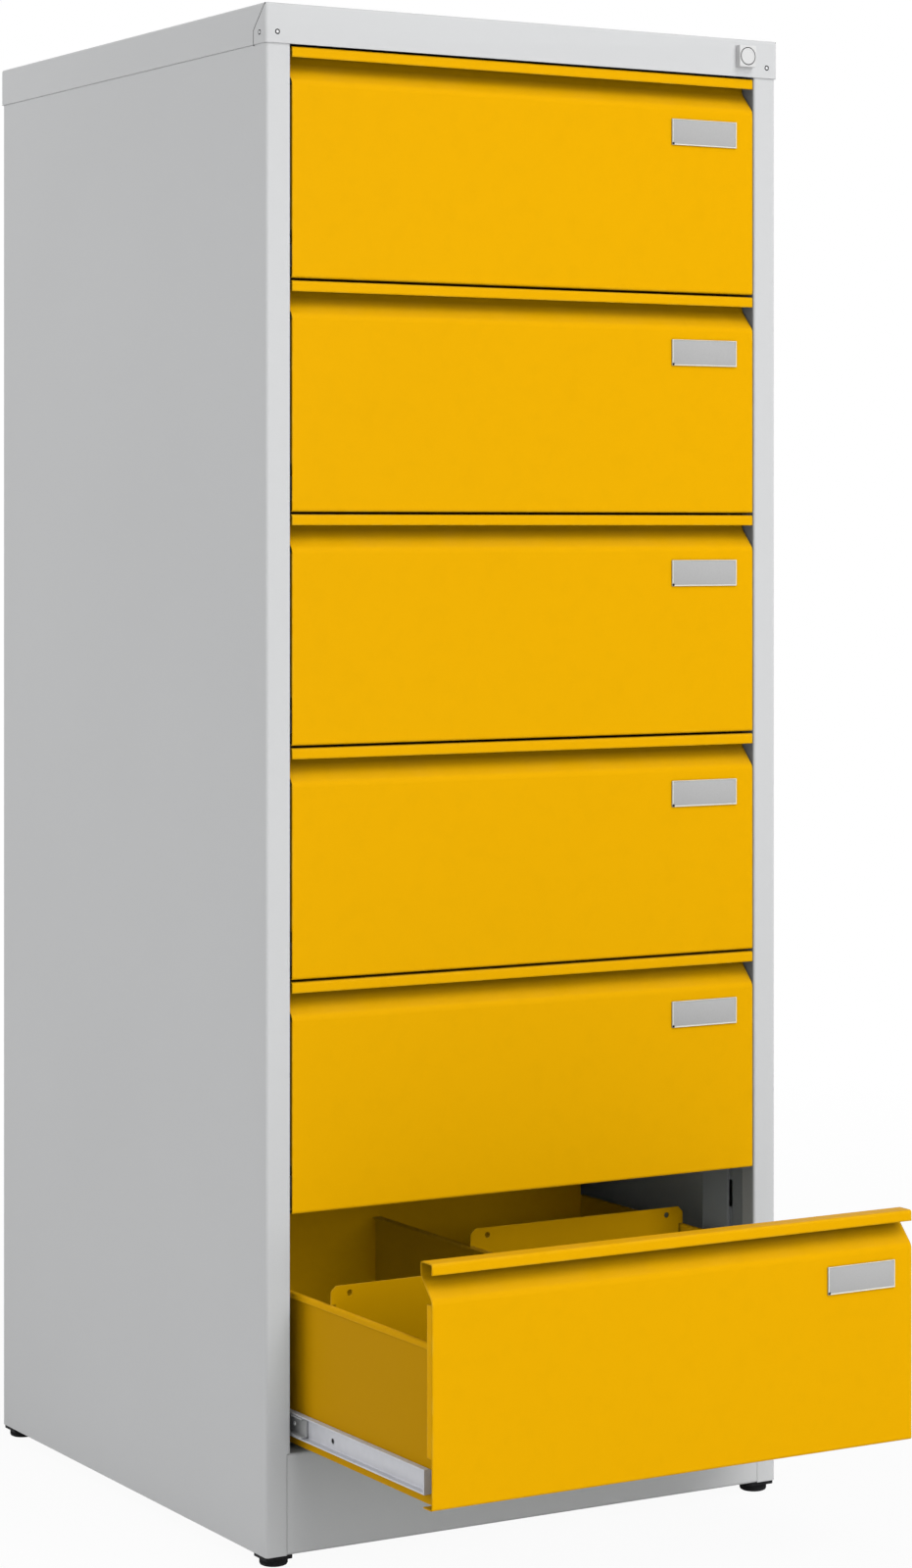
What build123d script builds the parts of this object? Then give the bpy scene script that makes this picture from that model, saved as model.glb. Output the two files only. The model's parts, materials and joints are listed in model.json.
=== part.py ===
"""Tall steel card index cabinet with six pull-out drawers for two rows of A5 cards.

Lengths are millimetres. +X is the cabinet's right, +Y its back and +Z up. The origin is at
floor level, under the middle of the whole outline with the bottom drawer drawn out.
Drawer 1 is the top one.
"""
from build123d import *
import math
import os

# Cabinet body
body_width = 507.5
body_depth = 538.0
panel_sheet = 1.0
panel_bend = 1.5
stile_width = 22.8
stile_return = 17.8
stile_width_at_plinth = 19.0
rear_flange = 14.0
plinth_height = 83.0
plinth_return = 24.0
floor_skirt = 18.0
fit_gap = 0.3

# Lid
lid_height = 33.2
lid_sheet = 1.2
lid_bend = 1.3
lid_play = 0.05
tab_reach = 24.0
tab_sheet = 0.8
rivet_inset = 11.0
rivet_drop = 24.0
rivet_head_radius = 2.2
rivet_head_height = 1.0
rivet_shank_radius = 1.5
rivet_play = 0.05

# Feet
foot_height = 9.2
foot_plate_side = 24.5
foot_plate_thick = 3.2
foot_plate_inset = 1.0
foot_plate_corner = 2.0
foot_inset = 14.0
glide_radius = 11.8
glide_edge = 1.8
stud_radius = 3.0
stud_length = 16.0
stud_play = 0.1

# Places of the drawers
drawer_count = 6
drawer_pitch = 192.5
front_gap = 2.0
front_side_gap = 1.2
gap_over_plinth = 4.1
gap_under_lid = 1.5
rest_opening = 230.5

# Drawer front: one sheet folded to a grip channel along its top
front_sheet = 1.0
front_bend = 1.2
recess_bend = 7.0
lip_height = 9.0
channel_depth = 17.7
channel_back = 11.0
recess_height = 29.0
bottom_return = 13.8
side_return = 8.0
side_return_start = 40.0
side_return_end_gap = 3.0

# Drawer box
box_sheet = 1.0
box_bend = 1.0
box_depth = 500.0
box_height = 126.0
slide_space = 9.0
rim_width = 3.6
rim_lip = 5.0
back_rise = 22.0
back_hem = 8.0
divider_top_width = 8.0
divider_sheet = 1.0

# Card followers
follower_sheet = 1.0
follower_rise = 15.5
follower_chamfer = 4.7
follower_hole_radius = 2.5
follower_hole_inset = 17.3
follower_hole_drop = 6.6
follower_foot = 12.0
follower_lift = 4.0
follower_side_play = 0.8
follower_middle_play = 0.5
follower_bearing = 1.6
follower_left_place = 174.7
follower_right_place = 332.5

# Label holder
label_width = 67.7
label_height = 22.7
label_side_inset = 17.9
label_drop = 39.3
label_plate = 0.5
label_rim = 0.9
label_proud = 1.3
label_hole_radius = 1.0

# Telescopic slides
slide_sheet = 1.2
slide_bend = 0.8
slide_height = 19.6
slide_depth = 6.8
slide_lift = 8.7
slide_play = 0.4
slide_front = 14.2
drawer_member_length = 470.0
middle_member_front = 100.0
middle_member_length = 400.0
cabinet_member_front = 20.0
cabinet_member_length = 480.0
slide_hole_radius = 2.4
slide_hole_drop = 1.8
slide_hole_start = 158.6
slide_hole_pitch = 96.0

# Uprights that carry the slides
upright_front = 23.4
upright_sheet = 1.2
upright_bend = 1.0
upright_step = 4.0
upright_recess = 16.6
upright_width = 58.5
upright_rear_gap = 20.0
upright_slot_width = 2.6
upright_slot_height = 24.0
upright_slot_rise = 163.0

# Lock
lock_side_inset = 35.0
lock_drop = 15.5
lock_block_width = 17.5
lock_block_height = 19.0
lock_block_proud = 6.0
lock_block_bevel = 0.8
barrel_radius = 7.2
barrel_play = 0.1
keyway_width = 1.4
keyway_height = 6.6
keyway_depth = 0.6
cam_sheet = 2.0
cam_arm = 10.0
cam_margin = 2.0
cam_pin_radius = 2.0
cam_pin_play = 0.8
cam_turn = 90.0
bar_sheet = 2.0
bar_width = 13.0
bar_inset = 4.0
bar_slot_margin = 2.5
bar_tail = 12.0
hook_height = 10.0
hook_rise = 46.0
hook_bite = 3.5
hook_play = 2.0
catch_height = 12.0
catch_sheet = 2.0
catch_reach = 7.0
catch_foot = 12.0
catch_gap = 0.6

# Places worked out from the sizes above
front_height = drawer_pitch - front_gap
body_bottom = foot_height
plinth_top = body_bottom + plinth_height
lowest_front = plinth_top + gap_over_plinth
lid_bottom = lowest_front + drawer_count * drawer_pitch - front_gap + gap_under_lid
overall_height = lid_bottom + lid_height
lid_overhang = lid_sheet + lid_play
front_y = (rest_opening + label_proud - body_depth - lid_overhang - rivet_head_height) / 2
rear_y = front_y + body_depth
half_body = body_width / 2
half_lid = half_body + lid_overhang
half_opening = half_body - stile_width
half_front = half_opening - front_side_gap
half_box = half_opening - slide_space
inner_wall = half_body - panel_sheet
rear_inner = rear_y - 2 * panel_sheet
body_top = overall_height - lid_sheet - lid_bend
upright_y = front_y + upright_front
lock_x = half_lid - lock_side_inset
lock_z = overall_height - lock_drop
cam_rise = cam_arm * math.sin(math.radians(cam_turn / 2))
cam_reach = cam_arm * math.cos(math.radians(cam_turn / 2))
bar_y = upright_y - fit_gap - bar_sheet
bar_x = half_opening + bar_inset
hook_x = half_box + catch_reach - hook_bite


def block(x0, x1, y0, y1, z0, z1):
    """A plain box between two corners."""
    centre = Pos((x0 + x1) / 2, (y0 + y1) / 2, (z0 + z1) / 2)
    return centre * Box(x1 - x0, y1 - y0, z1 - z0)


def along_x(outline, x0, x1):
    """A (y, z) outline drawn out along X."""
    return Pos(x0, 0, 0) * extrude(Plane.YZ * outline, x1 - x0)


def along_y(outline, y0, y1):
    """An (x, z) outline drawn out along Y."""
    return Pos(0, y1, 0) * extrude(Plane.XZ * outline, y1 - y0)


def along_z(outline, z0, z1):
    """An (x, y) outline drawn out along Z."""
    return Pos(0, 0, z0) * extrude(outline, z1 - z0)


def rod_x(y, z, radius, x0, x1):
    """A round rod along X."""
    return Pos((x0 + x1) / 2, y, z) * Rot(0, 90, 0) * Cylinder(radius, x1 - x0)


def rod_y(x, z, radius, y0, y1):
    """A round rod along Y."""
    return Pos(x, (y0 + y1) / 2, z) * Rot(90, 0, 0) * Cylinder(radius, y1 - y0)


def rod_z(x, y, radius, z0, z1):
    """A round rod along Z."""
    return Pos(x, y, (z0 + z1) / 2) * Cylinder(radius, z1 - z0)


def polygon(points):
    """A flat face with straight sides."""
    return make_face(Polyline(*points, close=True))


def folded(points, sheet, bends):
    """The section of a bent sheet: the points lie on one skin, with the sheet on their left.

    bends holds the inner radius of each corner, or one radius for them all. The outside of a
    corner is rounder by the sheet's thickness.
    """
    if not isinstance(bends, list):
        bends = [bends] * (len(points) - 2)
    path = [Vector(*point) for point in points]
    runs = [(end - start).normalized() for start, end in zip(path, path[1:])]
    lefts = [Vector(-run.Y, run.X) for run in runs]
    skin = [path[0] + lefts[0] * sheet]
    near_radii = []
    far_radii = []
    for corner, run, next_run, left, next_left, bend in zip(
        path[1:], runs, runs[1:], lefts, lefts[1:], bends
    ):
        skin.append(corner + (left + next_left) * (sheet / (1 + left.dot(next_left))))
        turns_left = run.cross(next_run).Z > 0
        near_radii.append(bend + sheet if turns_left else bend)
        far_radii.append(bend if turns_left else bend + sheet)
    skin.append(path[-1] + lefts[-1] * sheet)
    radii = [0, *near_radii, 0, 0, *reversed(far_radii), 0]
    return make_face(FilletPolyline(*path, *reversed(skin), radius=radii, close=True))


def slide_section(x0, x1, z0, z1, opens_right):
    """The (x, z) section of a slide member, a channel that opens to one side."""
    if opens_right:
        path = [(x1, z1), (x0, z1), (x0, z0), (x1, z0)]
    else:
        path = [(x0, z0), (x1, z0), (x1, z1), (x0, z1)]
    return folded(path, slide_sheet, slide_bend)


def both_sides(shape):
    """The shape and its mirror image across the middle plane."""
    return [shape, mirror(shape, Plane.YZ)]


def front_bottom(number):
    """Height of the lower edge of a drawer's front."""
    return lowest_front + (drawer_count - number) * drawer_pitch


def face_y(number):
    """Place of a drawer's front face: only the bottom drawer stands open."""
    return front_y - (rest_opening if number == drawer_count else 0)


def box_bottom(number):
    """Height of the box's underside, which lies on the front's bottom return."""
    return front_bottom(number) + front_sheet


def box_front(number):
    """Place of the box's front wall, behind the front's bend."""
    return face_y(number) + front_sheet + front_bend


def rim_top(number):
    """Height of the box's rims and of the divider, where the followers rest."""
    return box_bottom(number) + box_height


def slide_bottom(number):
    """Height of the underside of the drawer's slides."""
    return box_bottom(number) + slide_lift


def rivet_seats():
    """Where the lid's rivet heads sit, and the way that each head faces."""
    z = overall_height - rivet_drop
    for y, outward in ((front_y - lid_overhang, -1), (rear_y + lid_overhang, 1)):
        for side in (-1, 1):
            face = Plane((side * (half_lid - rivet_inset), y, z), z_dir=(0, outward, 0))
            tab = Plane(
                (side * (half_lid + tab_sheet), y - outward * rivet_inset, z),
                z_dir=(side, 0, 0),
            )
            yield face
            yield tab


def lid():
    """A shallow pan turned over, with riveted tabs wrapped round its corners."""
    y0 = front_y - lid_overhang
    y1 = rear_y + lid_overhang
    outer_bend = lid_bend + lid_sheet
    outside = block(-half_lid, half_lid, y0, y1, lid_bottom, overall_height)
    outside = fillet(
        outside.edges().group_by(Axis.Z)[-1] + outside.edges().filter_by(Axis.Z), outer_bend
    )
    inside = block(
        lid_sheet - half_lid, half_lid - lid_sheet, y0 + lid_sheet, y1 - lid_sheet,
        lid_bottom - lid_sheet, overall_height - lid_sheet,
    )
    inside = fillet(
        inside.edges().group_by(Axis.Z)[-1] + inside.edges().filter_by(Axis.Z), lid_bend
    )
    shell = outside - inside
    for y, inward in ((y0, 1), (y1, -1)):
        tab = polygon([
            (y + inward * outer_bend, overall_height - outer_bend),
            (y + inward * tab_reach, overall_height - tab_reach),
            (y + inward * tab_reach, lid_bottom),
            (y + inward * outer_bend, lid_bottom),
        ])
        for wrapped in both_sides(along_x(tab, half_lid - lid_sheet / 2, half_lid + tab_sheet)):
            shell += wrapped
    through = 2 * (lid_sheet + tab_sheet)
    for seat in rivet_seats():
        shell -= seat * Cylinder(rivet_shank_radius + rivet_play, 2 * through)
    return shell - rod_y(lock_x, lock_z, barrel_radius + barrel_play, y0 - 1, y0 + through)


def rivets():
    """Domed rivets at the lid's four corners."""
    dome = Sphere(rivet_head_radius, arc_size1=0, align=(Align.CENTER, Align.CENTER, Align.MIN))
    dome = scale(dome, (1, 1, rivet_head_height / rivet_head_radius))
    shank = Pos(0, 0, -lid_sheet / 2) * Cylinder(rivet_shank_radius, lid_sheet)
    return Compound(children=[seat * (dome + shank) for seat in rivet_seats()])


def side_panel():
    """The right side: one sheet from the front stile's return round to the rear flange."""
    stile_edge = half_body - stile_width
    plan = folded(
        [
            (stile_edge, front_y + stile_return),
            (stile_edge, front_y),
            (half_body, front_y),
            (half_body, rear_y),
            (half_body - rear_flange, rear_y),
        ],
        panel_sheet,
        panel_bend,
    )
    notch = block(
        stile_edge - 1, half_body - stile_width_at_plinth, front_y - 1,
        front_y + stile_return + 1, body_bottom - 1, plinth_top + fit_gap,
    )
    return along_z(plan, body_bottom, body_top) - notch


def back_panel():
    """The flat back, held inside the two rear flanges."""
    reach = inner_wall - panel_bend - fit_gap
    return block(-reach, reach, rear_inner, rear_y - panel_sheet, body_bottom, body_top)


def base_pan():
    """Plinth face and cabinet floor, folded from one sheet, with a skirt round the floor."""
    half_plinth = half_body - stile_width_at_plinth - fit_gap
    wide = inner_wall - fit_gap
    step_y = front_y + stile_return + fit_gap
    back = rear_inner - fit_gap
    skirt_bottom = plinth_top - floor_skirt
    section = folded(
        [
            (step_y, plinth_top),
            (front_y, plinth_top),
            (front_y, body_bottom),
            (front_y + plinth_return, body_bottom),
        ],
        panel_sheet,
        panel_bend,
    )
    pan = along_x(section, -half_plinth, half_plinth)
    pan += block(-wide, wide, step_y, back, plinth_top - panel_sheet, plinth_top)
    pan += block(-wide, wide, back - panel_sheet, back, skirt_bottom, plinth_top)
    for skirt in both_sides(
        block(wide - panel_sheet, wide, step_y, back, skirt_bottom, plinth_top)
    ):
        pan += skirt
    return pan


def uprights():
    """Four stepped channels behind the stiles and near the back, slotted for the slides."""
    recess_x = half_opening + upright_step
    step_y = upright_y + upright_recess
    end_y = upright_y + upright_width
    plan = folded(
        [
            (inner_wall, end_y),
            (half_opening, end_y),
            (half_opening, step_y),
            (recess_x, step_y),
            (recess_x, upright_y),
            (inner_wall, upright_y),
        ],
        upright_sheet,
        upright_bend,
    )
    front = along_z(plan, plinth_top, body_top)
    for number in range(1, drawer_count + 1):
        slot_z = front_bottom(number) + upright_slot_rise
        front -= block(
            recess_x - upright_slot_width, recess_x + 2 * upright_sheet,
            step_y - upright_bend, step_y + 2 * upright_sheet,
            slot_z - upright_slot_height / 2, slot_z + upright_slot_height / 2,
        )
    middle = (upright_y + rear_inner - upright_rear_gap) / 2
    rear = mirror(front, Plane.XZ.offset(-middle))
    return Compound(children=both_sides(front) + both_sides(rear))


def foot(x_side, y_side):
    """A corner plate and the levelling glide that is screwed up through it."""
    out_x = half_body - foot_plate_inset
    out_y = (rear_y if y_side > 0 else front_y) - y_side * foot_plate_inset
    x = half_body - foot_inset
    y = (rear_y if y_side > 0 else front_y) - y_side * foot_inset
    in_y = out_y - y_side * foot_plate_side
    glide_top = foot_height - foot_plate_thick
    plate = block(
        out_x - foot_plate_side, out_x, min(out_y, in_y), max(out_y, in_y), glide_top, foot_height
    )
    plate = fillet(plate.edges().filter_by(Axis.Z), foot_plate_corner)
    plate -= rod_z(x, y, stud_radius + stud_play, glide_top - 1, foot_height + 1)
    glide = rod_z(x, y, glide_radius, 0, glide_top)
    glide = chamfer(glide.edges().group_by(Axis.Z)[0], glide_edge)
    glide += rod_z(x, y, stud_radius, glide_top / 2, foot_height + stud_length)
    if x_side < 0:
        return [mirror(plate, Plane.YZ), mirror(glide, Plane.YZ)]
    return [plate, glide]


def feet():
    pieces = []
    for x_side in (-1, 1):
        for y_side in (-1, 1):
            pieces += foot(x_side, y_side)
    return Compound(children=pieces)


def drawer_front(number):
    """Front panel: face, slanted grip recess, channel and down-turned lip from one sheet."""
    top = front_height
    section = folded(
        [
            (front_sheet, top - lip_height),
            (front_sheet, top - front_sheet),
            (channel_depth - front_sheet, top - front_sheet),
            (channel_depth - front_sheet, top - channel_back),
            (0, top - recess_height),
            (0, 0),
            (bottom_return, 0),
        ],
        front_sheet,
        [front_bend, front_bend, recess_bend, recess_bend, front_bend],
    )
    panel = along_x(section, -half_front, half_front)
    flange = block(
        half_front - front_sheet, half_front, front_sheet / 2, side_return,
        side_return_start, top - recess_height - side_return_end_gap,
    )
    for side in both_sides(flange):
        panel += side
    return Pos(0, face_y(number), front_bottom(number)) * panel


def lock_catch(number):
    """The angle on the right side of a drawer's box that the lock bar's hook holds."""
    y0 = bar_y + bar_sheet + catch_gap + face_y(number) - front_y
    z0 = box_bottom(number) + hook_rise + hook_height + hook_play
    plan = polygon([
        (half_box, y0),
        (half_box + catch_reach, y0),
        (half_box + catch_reach, y0 + catch_sheet),
        (half_box + catch_sheet, y0 + catch_sheet),
        (half_box + catch_sheet, y0 + catch_foot),
        (half_box, y0 + catch_foot),
    ])
    return along_z(plan, z0, z0 + catch_height)


def drawer_box(number):
    """Welded tray: side walls with rolled-out rims, floor, front, taller back and a catch."""
    y0 = box_front(number)
    y1 = y0 + box_depth
    z0 = box_bottom(number)
    z1 = rim_top(number)
    inside = half_box - box_sheet
    floor = z0 + box_sheet
    rim = half_box + rim_width
    section = folded(
        [(rim, z1 - rim_lip), (rim, z1), (inside, z1), (inside, z0)], box_sheet, box_bend
    )
    walls = both_sides(along_y(section, y0, y1))
    walls.append(block(-inside, inside, y0, y1, z0, floor))
    walls.append(block(-inside, inside, y0, y0 + box_sheet, floor, z1 - box_bend))
    wall_top = z1 + back_rise
    back = y1 - box_sheet
    walls.append(block(-inside, inside, back, y1, floor, wall_top))
    walls.append(block(-inside, inside, y1 - back_hem, back, wall_top - box_sheet, wall_top))
    walls.append(lock_catch(number))
    return Compound(children=walls)


def drawer_divider(number):
    """Fixed middle wall, doubled sheet with its edges opened out level with the rims."""
    floor = box_bottom(number) + box_sheet
    top = rim_top(number)
    y0 = box_front(number) + box_sheet
    y1 = box_front(number) + box_depth - box_sheet
    half_top = divider_top_width / 2
    section = polygon([
        (-divider_sheet, floor),
        (divider_sheet, floor),
        (divider_sheet, top - divider_sheet),
        (half_top, top - divider_sheet),
        (half_top, top),
        (-half_top, top),
        (-half_top, top - divider_sheet),
        (-divider_sheet, top - divider_sheet),
    ])
    return along_y(section, y0, y1)


def card_follower(number, side):
    """Sliding cross plate of one card row, with an ear on the rim and one on the divider."""
    place = follower_left_place if side < 0 else follower_right_place
    y = face_y(number) + place
    seat = rim_top(number) + fit_gap
    top = rim_top(number) + follower_rise
    low = box_bottom(number) + box_sheet + follower_lift
    near = divider_top_width / 2 + follower_side_play
    far = half_box - box_sheet - box_bend - follower_side_play
    ear_near = follower_middle_play
    ear_far = half_box + follower_bearing
    outline = polygon([
        (near, low),
        (far, low),
        (far, seat),
        (ear_far, seat),
        (ear_far, top - follower_chamfer),
        (ear_far - follower_chamfer, top),
        (ear_near + follower_chamfer, top),
        (ear_near, top - follower_chamfer),
        (ear_near, seat),
        (near, seat),
    ])
    plate = along_y(outline, y, y + follower_sheet)
    plate += block(near, far, y, y + follower_foot, low, low + follower_sheet)
    for x in (ear_near + follower_hole_inset, ear_far - follower_hole_inset):
        plate -= rod_y(x, top - follower_hole_drop, follower_hole_radius, y - 1, y + 3)
    return mirror(plate, Plane.YZ) if side < 0 else plate


def label_holder(number):
    """Shallow frame, open at its top, that takes a paper label on the drawer's front."""
    x1 = half_front - label_side_inset
    x0 = x1 - label_width
    z1 = front_bottom(number) + front_height - label_drop
    z0 = z1 - label_height
    y = face_y(number)
    holder = block(x0, x1, y - label_plate, y, z0, z1)
    holder += block(x0, x0 + label_rim, y - label_proud, y, z0, z1)
    holder += block(x1 - label_rim, x1, y - label_proud, y, z0, z1)
    holder += block(x0, x1, y - label_proud, y, z0, z0 + label_rim)
    inset = label_rim + 2 * label_hole_radius
    return holder - rod_y(x0 + inset, z0 + inset, label_hole_radius, y - label_proud, y + 1)


def drawer_slides(number):
    """The slide members on the drawer: outward channels closed at the front, with holes."""
    y0 = face_y(number) + slide_front
    y1 = y0 + drawer_member_length
    z0 = slide_bottom(number)
    z1 = z0 + slide_height
    x1 = half_box + slide_depth
    member = along_y(slide_section(half_box, x1, z0, z1, True), y0, y1)
    end = block(half_box, x1, y0, y0 + slide_sheet, z0, z1)
    member += fillet(end.edges().filter_by(Axis.Y).group_by(Axis.X)[0], slide_sheet + slide_bend)
    hole_z = (z0 + z1) / 2 - slide_hole_drop
    hole_y = y0 + slide_hole_start
    while hole_y < y1 - slide_hole_start / 2:
        member -= rod_x(hole_y, hole_z, slide_hole_radius, half_box - 1, half_box + 2)
        hole_y += slide_hole_pitch
    return Compound(children=both_sides(member))


def middle_slides(number):
    """The nested middle members, which travel half as far as the drawer."""
    y0 = (front_y + face_y(number)) / 2 + middle_member_front
    x0 = half_box + slide_sheet + slide_play
    x1 = half_opening - slide_sheet - slide_play
    z0 = slide_bottom(number) + slide_sheet + slide_play
    z1 = slide_bottom(number) + slide_height - slide_sheet - slide_play
    section = slide_section(x0, x1, z0, z1, True)
    return Compound(children=both_sides(along_y(section, y0, y0 + middle_member_length)))


def cabinet_slides():
    """The fixed members of all drawers, facing inwards on the uprights."""
    y0 = front_y + cabinet_member_front
    inset = 2 * (slide_sheet + slide_play)
    members = []
    for number in range(1, drawer_count + 1):
        z0 = slide_bottom(number) + inset
        z1 = slide_bottom(number) + slide_height - inset
        section = slide_section(half_box + inset, half_opening, z0, z1, False)
        members += both_sides(along_y(section, y0, y0 + cabinet_member_length))
    return Compound(children=members)


def lock_housing():
    """Small square block on the lid's front flange, bored for the barrel."""
    y1 = front_y - lid_overhang
    y0 = y1 - lock_block_proud
    half_width = lock_block_width / 2
    half_height = lock_block_height / 2
    housing = block(
        lock_x - half_width, lock_x + half_width, y0, y1,
        lock_z - half_height, lock_z + half_height,
    )
    housing = chamfer(housing.edges().group_by(Axis.Y)[0], lock_block_bevel)
    return housing - rod_y(lock_x, lock_z, barrel_radius + barrel_play, y0 - 1, y1 + 1)


def lock_barrel():
    """Keyed barrel with the cam on its inner end; the cam's pin works in the bar's slot."""
    y0 = front_y - lid_overhang - lock_block_proud
    cam_y1 = bar_y - fit_gap
    cam_y0 = cam_y1 - cam_sheet
    barrel = rod_y(lock_x, lock_z, barrel_radius, y0, cam_y1)
    barrel -= block(
        lock_x - keyway_width / 2, lock_x + keyway_width / 2, y0 - 1, y0 + keyway_depth,
        lock_z - keyway_height / 2, lock_z + keyway_height / 2,
    )
    pin_x = lock_x + cam_reach
    pin_z = lock_z - cam_rise
    finger = cam_pin_radius + cam_margin
    arm = Pos(lock_x, cam_y1, lock_z) * Rot(0, cam_turn / 2, 0) * block(
        0, cam_arm, -cam_sheet, 0, -finger, finger
    )
    barrel += arm + rod_y(pin_x, pin_z, finger, cam_y0, cam_y1)
    return barrel + rod_y(pin_x, pin_z, cam_pin_radius, cam_y0, bar_y + bar_sheet)


def lock_bar():
    """Upright strip with hooks welded on, lifted by the cam to lock all the drawers."""
    pin_z = lock_z - cam_rise
    half_slot = cam_pin_radius + cam_pin_play
    lug_z0 = pin_z - half_slot - bar_slot_margin
    lug_z1 = pin_z + half_slot + bar_slot_margin
    slot_x0 = lock_x + cam_reach - half_slot
    slot_x1 = lock_x + cam_arm + half_slot
    foot_z = box_bottom(drawer_count) + hook_rise
    y1 = bar_y + bar_sheet
    lug = block(slot_x0 - bar_slot_margin, bar_x + bar_width, bar_y, y1, lug_z0, lug_z1)
    lug -= block(slot_x0, slot_x1, bar_y - 1, y1 + 1, pin_z - half_slot, pin_z + half_slot)
    strip = block(bar_x, bar_x + bar_width, bar_y, y1, foot_z - bar_tail, lug_z0)
    pieces = [lug, strip]
    for number in range(1, drawer_count + 1):
        z = box_bottom(number) + hook_rise
        hook = polygon([
            (bar_x, z),
            (hook_x + hook_bite, z),
            (hook_x, z + hook_bite),
            (hook_x, z + hook_height),
            (bar_x, z + hook_height),
        ])
        pieces.append(along_y(hook, bar_y, y1))
    return Compound(children=pieces)


def build():
    """Every node of the cabinet by name."""
    nodes = {
        "lid": lid(),
        "rivets": rivets(),
        "side_panel_right": side_panel(),
        "side_panel_left": mirror(side_panel(), Plane.YZ),
        "back_panel": back_panel(),
        "base_pan": base_pan(),
        "uprights": uprights(),
        "cabinet_slides": cabinet_slides(),
        "feet": feet(),
        "lock_housing": lock_housing(),
        "lock_barrel": lock_barrel(),
        "lock_bar": lock_bar(),
    }
    for number in range(1, drawer_count + 1):
        name = f"drawer_{number}_"
        nodes[name + "front"] = drawer_front(number)
        nodes[name + "box"] = drawer_box(number)
        nodes[name + "divider"] = drawer_divider(number)
        nodes[name + "follower_left"] = card_follower(number, -1)
        nodes[name + "follower_right"] = card_follower(number, 1)
        nodes[name + "label_holder"] = label_holder(number)
        nodes[name + "slides"] = drawer_slides(number)
        nodes[name + "middle_slides"] = middle_slides(number)
    return nodes


os.makedirs("parts", exist_ok=True)
for node, shape in build().items():
    export_step(shape, f"parts/{node}.step")
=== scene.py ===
"""Dresses the six-drawer card index cabinet and shows it as the photograph does.

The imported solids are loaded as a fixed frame. Small parts whose real shape is finer than the
solids are modelled again here, and every surface gets a finish made of shader nodes.
Lengths are metres, +X is the cabinet's right, +Y its back and +Z up.
"""
from __future__ import annotations

import json
import logging
import math
from collections.abc import Callable, Iterator, Sequence
from contextlib import contextmanager
from dataclasses import dataclass, replace
from enum import Enum

import bmesh
import bpy
from mathutils import Matrix, Vector

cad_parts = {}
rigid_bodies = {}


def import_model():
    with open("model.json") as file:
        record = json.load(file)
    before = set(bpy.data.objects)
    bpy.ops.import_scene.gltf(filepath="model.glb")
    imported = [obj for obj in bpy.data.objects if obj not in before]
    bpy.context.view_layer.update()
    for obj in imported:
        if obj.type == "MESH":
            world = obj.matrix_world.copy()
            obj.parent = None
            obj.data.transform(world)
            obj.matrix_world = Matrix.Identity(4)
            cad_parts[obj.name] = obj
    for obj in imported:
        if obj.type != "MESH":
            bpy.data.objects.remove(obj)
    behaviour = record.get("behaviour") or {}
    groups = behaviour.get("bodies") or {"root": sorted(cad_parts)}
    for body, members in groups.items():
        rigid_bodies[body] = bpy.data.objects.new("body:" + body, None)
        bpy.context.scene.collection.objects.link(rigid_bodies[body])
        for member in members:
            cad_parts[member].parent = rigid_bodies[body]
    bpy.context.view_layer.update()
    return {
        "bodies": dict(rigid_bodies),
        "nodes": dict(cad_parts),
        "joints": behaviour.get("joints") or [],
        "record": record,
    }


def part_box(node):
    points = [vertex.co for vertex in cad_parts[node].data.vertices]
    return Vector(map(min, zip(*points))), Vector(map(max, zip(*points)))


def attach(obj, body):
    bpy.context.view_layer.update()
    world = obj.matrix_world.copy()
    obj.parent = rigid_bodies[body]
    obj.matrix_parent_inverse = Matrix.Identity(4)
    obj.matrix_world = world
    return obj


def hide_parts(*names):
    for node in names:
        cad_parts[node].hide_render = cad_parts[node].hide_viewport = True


log = logging.getLogger("cabinet")

MM = 0.001
DRAWERS = range(1, 7)
SAME_PLANE = 0.1 * MM
ALONG_AXIS = 0.9
NOISE_RANGE = (0.3, 0.7)
NOISE_MIDDLE = 0.5
PEEL_RANGE = (0.4, 0.9)

Piece = bpy.types.Object
Node = bpy.types.Node
Socket = bpy.types.NodeSocket
Input = Socket | float
Point = tuple[float, float, float]
Range = tuple[float, float]
Profile = tuple[tuple[float, float], ...]
Test = Callable[[Vector, Vector], bool]


class Pick(Enum):
    """What edit mode selects."""

    EDGES = "EDGE"
    FACES = "FACE"


class Facing(Enum):
    """The way that a turned piece's axis points."""

    RIGHT = (1.0, 0.0, 0.0)
    LEFT = (-1.0, 0.0, 0.0)
    BACK = (0.0, 1.0, 0.0)
    FRONT = (0.0, -1.0, 0.0)
    UP = (0.0, 0.0, 1.0)


class Slot(Enum):
    """The record's material slots, passed along with the new pieces."""

    CABINET_PAINT = "cabinet_paint"
    SLIDE_STEEL = "slide_steel"
    LABEL_METAL = "label_metal"
    LOCK_METAL = "lock_metal"
    FASTENER_STEEL = "fastener_steel"
    FOOT_PLASTIC = "foot_plastic"


def millimetres(*steps: tuple[float, float]) -> Profile:
    """A profile in metres from radii and heights in millimetres."""
    return tuple((radius * MM, height * MM) for radius, height in steps)


def only(piece: Piece) -> None:
    """Select this object alone and make it the active one.

    Args:
        piece: The object that the next operator works on.
    """
    bpy.ops.object.select_all(action="DESELECT")
    piece.select_set(True)
    bpy.context.view_layer.objects.active = piece


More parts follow.
